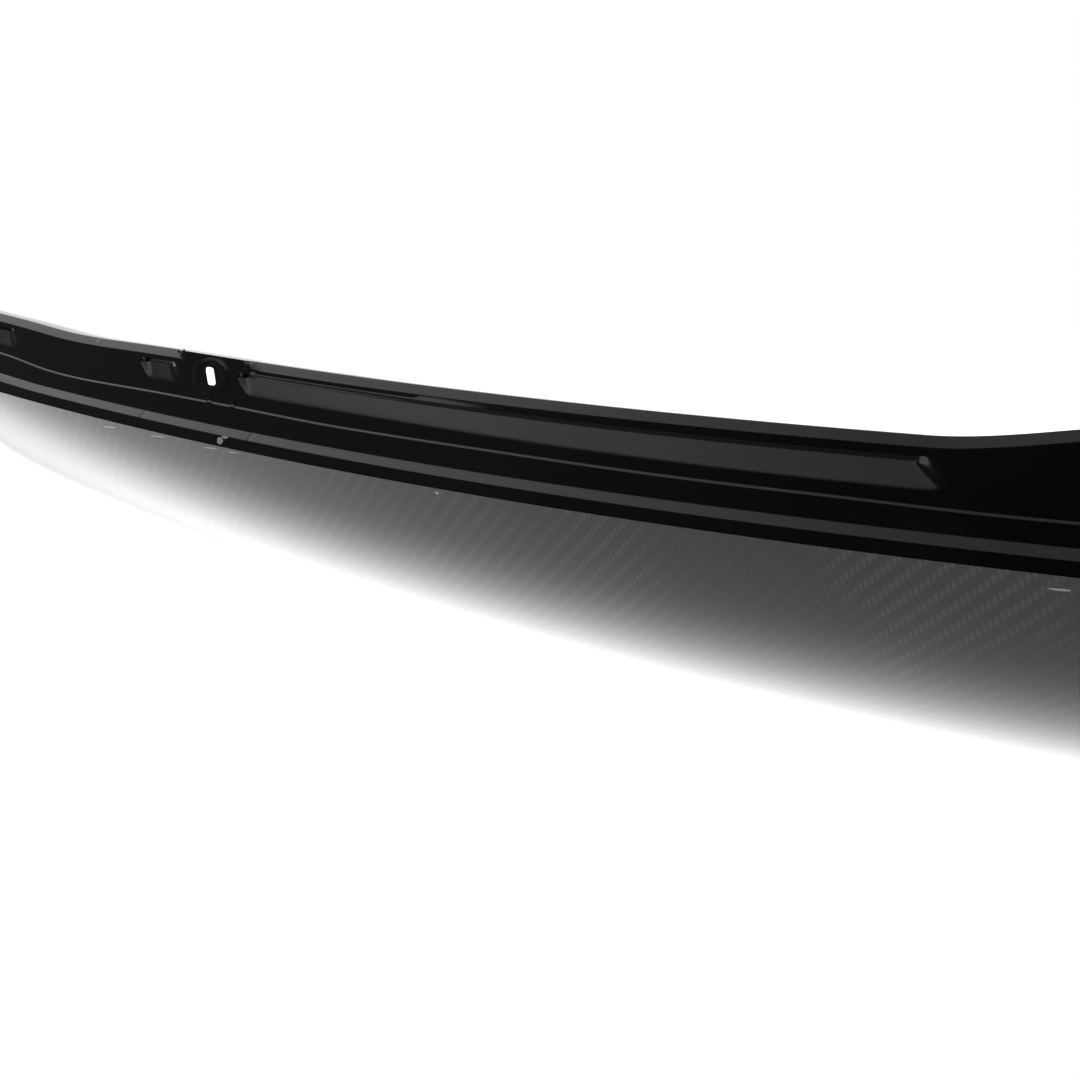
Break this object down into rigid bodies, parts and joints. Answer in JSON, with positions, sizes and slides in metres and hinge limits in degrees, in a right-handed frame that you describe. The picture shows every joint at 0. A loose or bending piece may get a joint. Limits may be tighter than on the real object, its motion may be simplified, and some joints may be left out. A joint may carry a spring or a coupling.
{
  "type": "car bonnet",
  "caption": "Car bonnet with a woven carbon outer skin bonded to a moulded black inner frame, with a striker, a safety catch, hinges and screw-in buffers, lying on its outer face.",
  "frame": {"origin": "under the middle of the box, on the surface that the outer face rests on", "axes": "+X across the car, -Y towards the nose, +Z out of the bonnet's underside"},
  "size_m": [1.52, 0.9442, 0.2327],
  "materials": {
    "carbon_skin": "woven carbon laminate under clear gloss lacquer",
    "frame_black": "gloss black gelcoat",
    "adhesive": "cured structural adhesive",
    "alloy": "machined",
    "zinc_steel": "bright zinc plated",
    "yellow_zinc": "yellow zinc plated",
    "spring_steel": "oiled spring wire",
    "black_steel": "black electrocoat",
    "buffer_rubber": "moulded matt",
    "seal_rubber": "extruded matt"
  },
  "bodies": {
    "bonnet": {"outer_skin": "carbon_skin", "inner_frame": "frame_black", "bond_front": "adhesive", "bond_rear": "adhesive", "bond_left": "adhesive", "bond_right": "adhesive", "bond_braces": "adhesive", "latch_plate": "alloy", "striker": "zinc_steel", "striker_bolts": "zinc_steel", "catch_pivot": "zinc_steel", "catch_spring": "spring_steel", "rear_seal": "seal_rubber", "hinge_plate_left": "alloy", "hinge_arm_left": "black_steel", "hinge_bolts_left": "zinc_steel", "hinge_pin_left": "zinc_steel", "buffer_boss_left": "alloy", "hinge_plate_right": "alloy", "hinge_arm_right": "black_steel", "hinge_bolts_right": "zinc_steel", "hinge_pin_right": "zinc_steel", "buffer_boss_right": "alloy"},
    "catch": {"safety_catch": "yellow_zinc"},
    "hinge_left": {"hinge_bracket_left": "black_steel"},
    "hinge_right": {"hinge_bracket_right": "black_steel"},
    "buffer_left_body": {"buffer_left": "buffer_rubber", "buffer_stud_left": "zinc_steel"},
    "buffer_right_body": {"buffer_right": "buffer_rubber", "buffer_stud_right": "zinc_steel"}
  },
  "joints": [
    {"name": "left_hinge", "type": "hinge", "parent": "bonnet", "child": "hinge_left", "pos_m": [-0.697, 0.40988, 0.12997], "axis": [-1, 0, 0], "range_deg": [0, 55]},
    {"name": "right_hinge", "type": "hinge", "parent": "bonnet", "child": "hinge_right", "pos_m": [0.697, 0.40988, 0.12997], "axis": [-1, 0, 0], "range_deg": [0, 55]},
    {"name": "catch_lever", "type": "hinge", "parent": "bonnet", "child": "catch", "pos_m": [0.0149, -0.43012, 0.20165], "axis": [1, 0, 0], "range_deg": [0, 22], "stiffness_Nm_per_rad": 0.5, "springref_deg": -11.46},
    {"name": "left_buffer", "type": "slide", "parent": "bonnet", "child": "buffer_left_body", "axis": [0, 0, 1], "range_m": [-0.003, 0.003]},
    {"name": "right_buffer", "type": "slide", "parent": "bonnet", "child": "buffer_right_body", "axis": [0, 0, 1], "range_m": [-0.003, 0.003]}
  ],
  "couplings": [
    {"joint": "right_hinge", "follows": "left_hinge", "ratio": 1}
  ]
}
